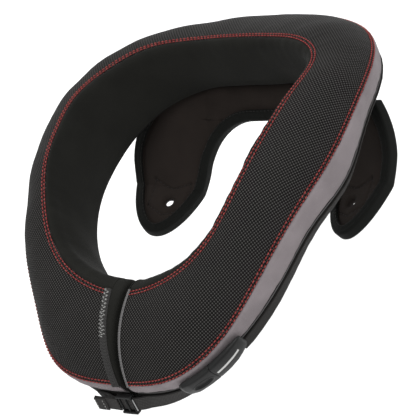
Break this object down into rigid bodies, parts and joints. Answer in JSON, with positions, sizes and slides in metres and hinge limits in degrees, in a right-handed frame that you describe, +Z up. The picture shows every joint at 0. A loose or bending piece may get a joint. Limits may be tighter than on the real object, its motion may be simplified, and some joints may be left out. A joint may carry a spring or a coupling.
{
  "type": "padded neck brace",
  "caption": "Padded ring collar split at the front, with a woven top, grey side band, buckled rim strap and a rear yoke with two shoulder tabs.",
  "frame": {"origin": "middle of the neck opening at the level of the foot of the collar's inner wall", "axes": "+Z up along the neck, -Y to the front where the collar splits, +X to the wearer's left"},
  "size_m": [0.2292, 0.2816, 0.1126],
  "materials": {
    "foam": "matt",
    "lining_jersey": "soft matt",
    "ballistic_cloth": "coarse weave",
    "grey_cloth": "plain weave",
    "black_cloth": "matt",
    "elastic": "gathered, overlocked",
    "piping": "matt",
    "webbing": "ribbed webbing",
    "moulded_plastic": "fine moulded texture",
    "yoke_cloth": "smooth padded cloth",
    "binding_tape": "woven tape"
  },
  "bodies": {
    "root": {"foam_core": "foam", "lining": "lining_jersey", "top_panel": "ballistic_cloth", "side_panel": "grey_cloth", "base_panel": "black_cloth", "left_end_cap": "lining_jersey", "right_end_cap": "lining_jersey", "gathered_edge": "elastic", "edge_piping": "piping", "rim_strap": "webbing", "front_strap": "webbing", "strap_tail": "webbing", "strap_slider": "moulded_plastic", "buckle_socket": "moulded_plastic", "buckle_plug": "moulded_plastic", "yoke": "yoke_cloth", "yoke_binding": "binding_tape"}
  },
  "joints": []
}
